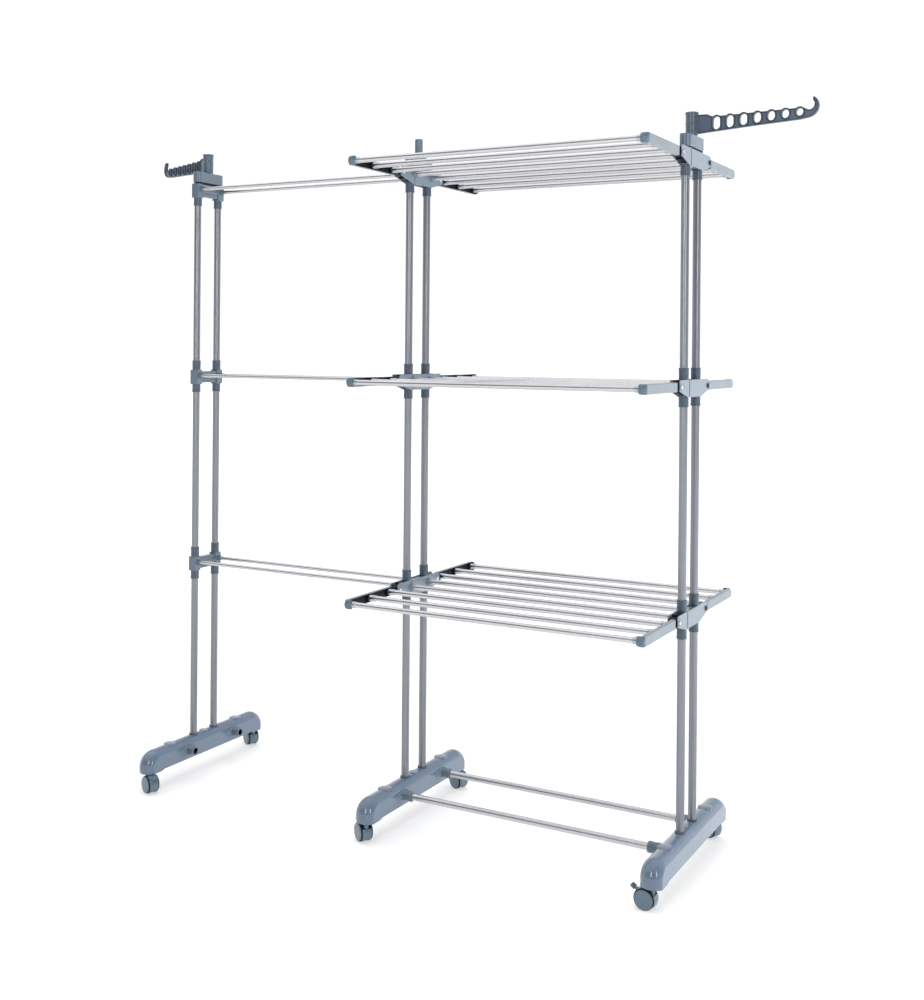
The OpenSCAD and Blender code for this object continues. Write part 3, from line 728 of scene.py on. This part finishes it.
def make_bar(bm, local, y0, length):
    """Black bar inside a channel, with the knuckle that turns on the hinge pin."""
    start, end, half_z = y0 + 0.3, y0 + length - 0.3, 9.6
    block(bm, local, (-8.4, start, -half_z), (-3.4, end, half_z), 0.4)
    for y in WING_TUBE_Y:
        block(bm, local, (-4, y - 9, -half_z), (-1.2, min(y + 9, end), half_z), 0.6)
    block(bm, local, (-8.4, HINGE_Y + 4, -9.2), (8.2, y0 + 3, 9.2), 1.2)
    revolve(bm, local @ along_x(-9.2, HINGE_Y, 0), [
        (3.1, 0.1), (10.2, 0.1), (11, 0.9), (11, 17.5), (10.2, 18.3), (3.1, 18.3)], 40, closed=True)


def make_wing(t, side):
    """Channels, bars, noses, ferrules and washers of one wing's two arms."""
    s = SIDES[side]
    body = f"wing_{t}_{side}"
    lo, hi = box_mm(body + "_arms")
    y0, length = min(s * lo[1], s * hi[1]), hi[1] - lo[1]
    arms, bars, caps, rings, cups = (bmesh.new() for _ in range(5))
    for f, m in (("middle", 1), ("right", -1)):
        local = at(FRAME_X[f], 0, TUBE_Z[t]) @ Matrix.Diagonal((m, s, 1, 1))
        channel(arms, local @ at(0, y0, 0), length)
        make_bar(bars, local, y0, length)
        dome(caps, local @ at(0, y0 + length, 0), NOSE_LEN)
        for y in WING_TUBE_Y:
            place = local @ along_x(-1, y, 0)
            revolve(cups, place, [(8.2, -1), (8.0, 1.6), (7.5, 2.4), (7.5, 17.6), (7.0, 18.8),
                                  (6.6, 19), (6.55, 15)], 32)
            revolve(rings, place, [(9.2, -1), (9.2, 1.2), (8.7, 1.7), (7.6, 1.7)], 32)
    piece(body + "_channels", arms, "arm", body, [body + "_arms"])
    piece(body + "_bars", bars, "black", body, [body + "_liners"])
    piece(body + "_noses", caps, "nose", body, [body + "_caps"])
    piece(body + "_ferrules", cups, "ferrule", body, [body + "_caps"])
    piece(body + "_washers", rings, "black", body)


# ---------- castors ----------

HOOD_HALF_W, HOOD_R, HOOD_IN_R = 11.5, 25.3, 23.6


def fender(bm, axle, a0, a1):
    """A stretch of the hood's shell, slightly domed across, between two angles in degrees."""
    steps, strips = 20, 8
    widths = [HOOD_HALF_W * (2 * k / strips - 1) for k in range(strips + 1)]
    section = [(HOOD_R - 1.2 * (w / HOOD_HALF_W) ** 4, w) for w in widths]
    section += [(HOOD_IN_R, w) for w in reversed(widths)]
    rows = []
    for i in range(steps + 1):
        a = math.radians(a0 + (a1 - a0) * i / steps)
        rows.append([bm.verts.new(axle @ Vector((r * math.cos(a), r * math.sin(a), w)))
                     for r, w in section])
    skin(bm, rows, closed=True)
    bm.faces.new(rows[0])
    bm.faces.new(rows[-1])


def make_castor(f, side):
    """Hood, treads and side discs of one castor, drawn trailing along local +X."""
    c = f"castor_{f}_{side}"
    swivel, roll = joint_at(c + "_swivel"), joint_at(c + "_roll")
    turn = math.atan2(roll.y - swivel.y, roll.x - swivel.x)
    local = at(swivel.x, swivel.y, 0) @ Matrix.Rotation(turn, 4, "Z")
    axle = local @ at((roll - swivel).xy.length, 0, AXLE_Z) @ TIPPED
    hood = bmesh.new()
    for a0, a1 in ((-35, 86), (154, 215)):
        fender(hood, axle, a0, a1)
    revolve(hood, axle, [(3.2, -5.2), (21.8, -5.2), (22.6, -4.4), (22.6, 4.4), (21.8, 5.2),
                         (3.2, 5.2)], closed=True)
    revolve(hood, local, [(6.6, 30), (6.6, 43), (7.6, 44), (7.6, 46.8), (6.9, 47.8), (3.6, 47.9),
                          (3.6, 40)], 32)
    piece(c + "_shell", hood, "castor", c + "_fork", [c + "_hood"])
    tread, discs = bmesh.new(), bmesh.new()
    for m in BOTH:
        wheel = axle @ Matrix.Diagonal((1, 1, m, 1))
        revolve(tread, wheel, [(3, 5.9), (22.0, 5.9), (22.9, 6.8), (23, 9), (23, 12.6), (22.6, 13.6),
                               (22, 14.2), (3, 14.2)])
        revolve(discs, wheel, [(21.3, 14.0), (21.4, 15.4), (21.0, 16.2), (20.0, 16.7), (12, 17.1),
                               (0, 17.2)])
    piece(c + "_treads", tread, "tread", c + "_wheels", [c + "_wheels"])
    piece(c + "_discs", discs, "castor", c + "_wheels", [c + "_wheels"])
    if side == "front":
        press = joint_at(c + "_brake_press")
        make_lever(c, local @ at((press - swivel).xy.length, 0, press.z) @ TIPPED)


def make_lever(c, place):
    """Brake lever of a castor: a thin arm with a wide pedal."""
    bm = bmesh.new()
    outline = [(-3, -2.5), (4, -3.4), (14, 1), (22.6, 7.6), (22, 10.6), (20, 10.4), (13, 6),
               (5, 4.2), (-2, 3)]
    pedal = outline[2:7]
    prism(bm, place, outline, -3, 3, 0.8, 3)
    prism(bm, place, pedal, -8, 8, 1.0, 3)
    piece(c + "_lever", bm, "castor", c + "_brake", [c + "_brake"])


# ---------- the rack ----------

for f in FRAMES:
    make_foot(f)
    dress("posts_" + f, "post")
make_foot_fittings()
make_hinged_brackets()
make_plain_brackets()
make_pins()
make_caps()
make_hanger("left")
make_hanger("right")
dress("bottom_rails", "rail")
dress("centre_rails", "shelf")
dress("extension_rods", "shelf")
dress("castor_stems", "pin")
dress("hinge_blocks", "black")
for t in TIERS:
    for side in SIDES:
        dress(f"wing_{t}_{side}_tubes", "shelf")
        make_wing(t, side)
for f in FRAMES:
    for side in SIDES:
        make_castor(f, side)


# ---------- camera, light and floor ----------

# The camera was found from the rack's straight lines. The floor's glow grows between two distances
# in metres. The room is dimmer in front of the rack, and its gray changes with height.
CAMERA_SPOT = (1.6013, -2.7286, 1.1882)
CAMERA_TURN, CAMERA_ROLL = 28.7548, 0.4776
GLOW_REACH, GLOW = (1.4, 5.0), (0.42, 0.75)
ROOM_FRONT, ROOM_DIM, ROOM_LIGHT = (0.48, -0.88, 0), 0.24, 1.1
ROOM_HEIGHT = ((0.0, 1.0), (0.30, 1.0), (0.50, 0.50), (0.80, 0.80), (1.0, 1.0))


def camera():
    """A level camera with a shifted lens."""
    data = bpy.data.cameras.new("camera")
    data.sensor_width = 36
    data.lens = 44.638
    data.shift_y = -0.151265
    data.clip_end = 60
    made = new_object("camera", data)
    turn = Matrix.Rotation(math.radians(CAMERA_TURN), 4, "Z")
    roll = Matrix.Rotation(math.radians(CAMERA_ROLL), 4, "Z")
    made.matrix_world = Matrix.Translation(CAMERA_SPOT) @ turn @ TIPPED @ roll
    bpy.context.scene.camera = made


def softbox(name, spot, aim, size, power, seen=True):
    """A rectangular light that never shows itself; seen tells if shiny parts mirror it."""
    data = bpy.data.lights.new(name, "AREA")
    data.shape = "RECTANGLE"
    data.size, data.size_y = size
    data.energy = power
    made = new_object(name, data)
    made.location = spot
    made.rotation_mode = "QUATERNION"
    made.rotation_quaternion = (Vector(aim) - Vector(spot)).to_track_quat("-Z", "Y")
    made.visible_camera = False
    made.visible_glossy = seen


def floor():
    """A pale floor that glows more with distance, so it stays white up to the horizon."""
    bm = bmesh.new()
    half, cells = 60.0, 40
    lines = [half * (2 * i / cells - 1) for i in range(cells + 1)]
    skin(bm, [[bm.verts.new((x, y, 0)) for x in lines] for y in lines])
    mesh = bpy.data.meshes.new("floor")
    bm.to_mesh(mesh)
    bm.free()
    made = new_object("floor", mesh)
    n = Nodes("floor_paint")
    tone = n.blend(n.spread(n.noise(2, 3), 0, 1), (0.64, 0.64, 0.64), (0.66, 0.66, 0.66))
    reach = n.add("VectorMath", {0: n.coords}, operation="LENGTH").outputs["Value"]
    glow = n.add("MapRange", {"Value": reach, "From Min": GLOW_REACH[0], "From Max": GLOW_REACH[1],
                              "To Min": GLOW[0], "To Max": GLOW[1]}).outputs["Result"]
    mesh.materials.append(n.finish(Base_Color=tone, Roughness=0.7, Emission_Strength=glow,
                                   Emission_Color=(1, 1, 1, 1)))


def sky():
    """A white studio: a bright backdrop behind the rack, and a dimmer room in front of it."""
    world = bpy.data.worlds.new("studio")
    bpy.context.scene.world = world
    world.use_nodes = True
    tree = world.node_tree
    coords = tree.nodes.new("ShaderNodeTexCoord").outputs["Generated"]
    split = tree.nodes.new("ShaderNodeSeparateXYZ")
    tree.links.new(coords, split.inputs[0])
    front = tree.nodes.new("ShaderNodeVectorMath")
    front.operation = "DOT_PRODUCT"
    front.inputs[1].default_value = ROOM_FRONT
    tree.links.new(coords, front.inputs[0])
    height = ramp(tree, split.outputs["Z"], ROOM_HEIGHT)
    room = tree.nodes.new("ShaderNodeMapRange")
    room.interpolation_type = "SMOOTHSTEP"
    for key, value in (("From Min", -0.35), ("From Max", 0.35), ("To Min", 1), ("To Max", ROOM_DIM)):
        room.inputs[key].default_value = value
    tree.links.new(front.outputs["Value"], room.inputs["Value"])
    both = tree.nodes.new("ShaderNodeVectorMath")
    both.operation = "SCALE"
    tree.links.new(height, both.inputs[0])
    tree.links.new(room.outputs["Result"], both.inputs["Scale"])
    background = tree.nodes["Background"]
    tree.links.new(both.outputs["Vector"], background.inputs["Color"])
    background.inputs["Strength"].default_value = ROOM_LIGHT


def ramp(tree, value, stops):
    """A gray ramp over a value."""
    made = tree.nodes.new("ShaderNodeValToRGB")
    tree.links.new(value, made.inputs["Fac"])
    band = made.color_ramp
    band.elements[0].position, band.elements[1].position = stops[0][0], stops[-1][0]
    for spot, _ in stops[1:-1]:
        band.elements.new(spot)
    for element, (_, level) in zip(band.elements, stops):
        element.color = (level, level, level * 1.01, 1)
    return made.outputs["Color"]


def sunlight(power, aim, spread):
    """A wide, soft sun; spread is its angle in degrees."""
    data = bpy.data.lights.new("sun", "SUN")
    data.energy = power
    data.angle = math.radians(spread)
    made = new_object("sun", data)
    made.rotation_mode = "QUATERNION"
    made.rotation_quaternion = Vector(aim).to_track_quat("-Z", "Y")


camera()
floor()
sky()
sunlight(0.9, (0.35, 0.15, -0.92), 75)
softbox("top", (0.3, 0.2, 4.4), (0, 0, 0.8), (3.4, 0.7), 24, seen=False)
softbox("side", (4.7, 1.4, 1.1), (0.5, 0, 0.8), (3.0, 2.4), 190, seen=False)
softbox("window_left", (0.3, -3.9, 2.2), (0.4, 0, 0.6), (0.35, 2.6), 38)
softbox("window_right", (3.4, -2.7, 2.3), (0.4, 0, 0.6), (0.35, 2.6), 38)
bpy.context.scene.view_settings.view_transform = "Standard"
